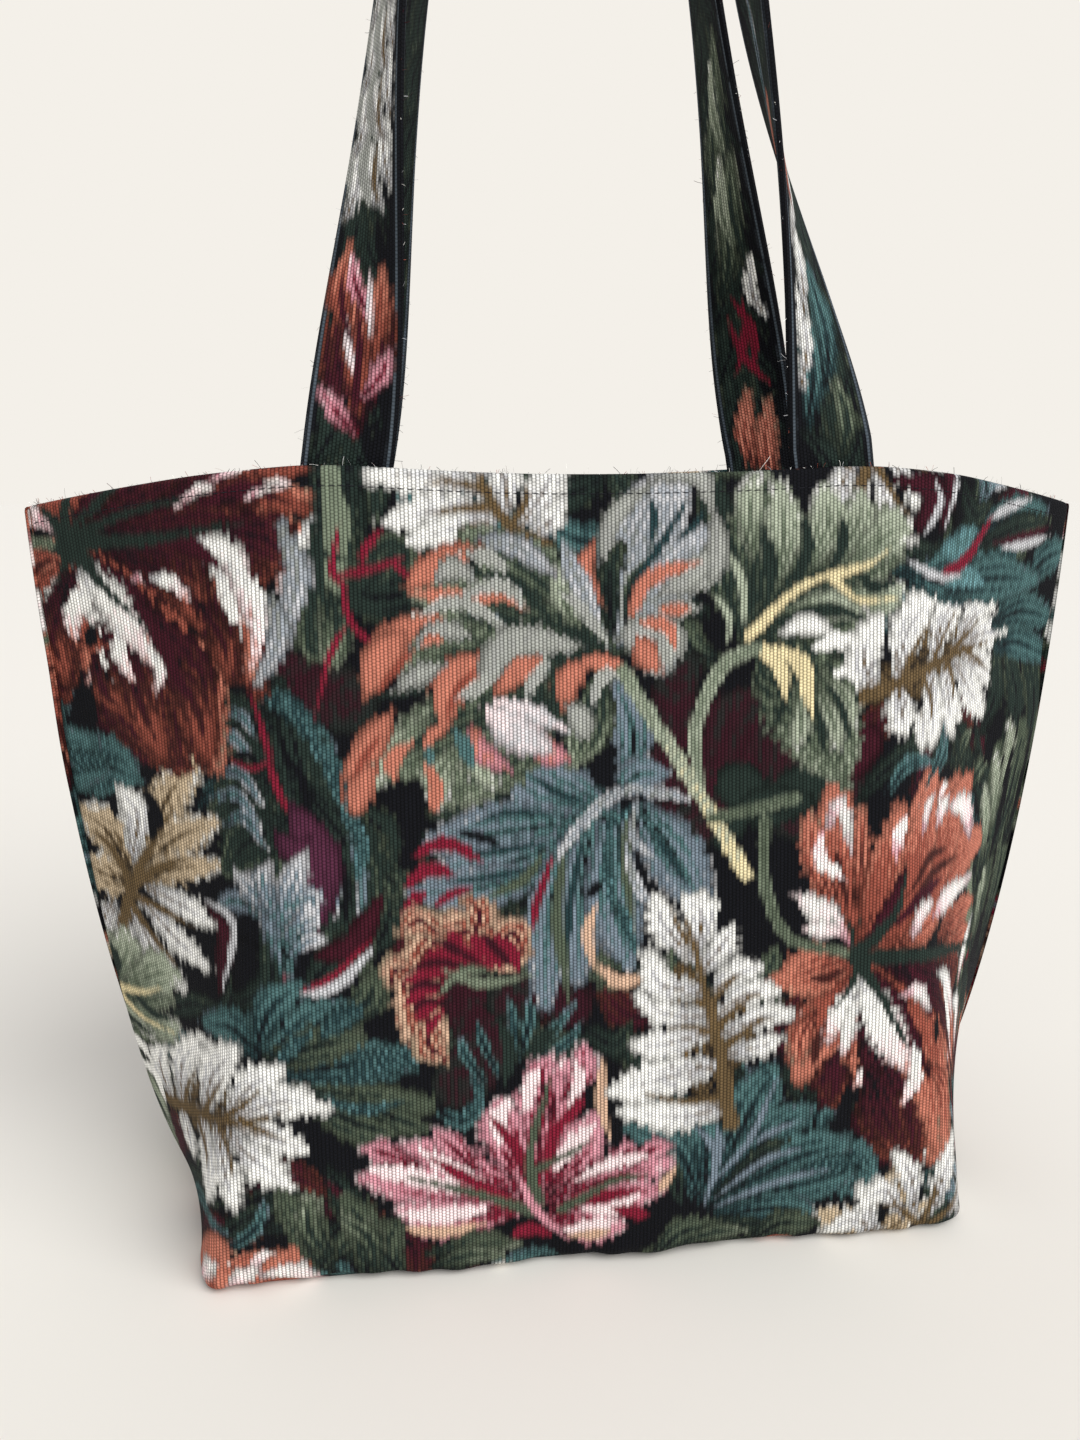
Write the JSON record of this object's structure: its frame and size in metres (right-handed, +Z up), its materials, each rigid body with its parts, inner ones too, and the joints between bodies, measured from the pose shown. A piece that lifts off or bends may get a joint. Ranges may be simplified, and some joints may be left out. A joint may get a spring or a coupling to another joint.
{
  "type": "tapestry tote bag",
  "caption": "Soft open-topped tote of tapestry-woven cloth with a boxed flat base, a lining and shoulder straps sewn in under the rim.",
  "frame": {"origin": "centre of the flat base, on the surface that the bag stands on", "axes": "+Z up from the base to the straps, +X along the width towards the wearer's right when the front faces away, -Y out of the front"},
  "size_m": [0.4154, 0.1462, 0.551],
  "materials": {
    "tapestry": "heavy woven tapestry with vertical ribs, matt",
    "lining": "plain woven cotton, matt",
    "strap": "the same tapestry cloth folded to a flat strap, matt"
  },
  "bodies": {
    "root": {"front_panel": "tapestry", "back_panel": "tapestry", "front_lining": "lining", "back_lining": "lining", "front_strap": "strap", "back_strap": "strap"}
  },
  "joints": []
}
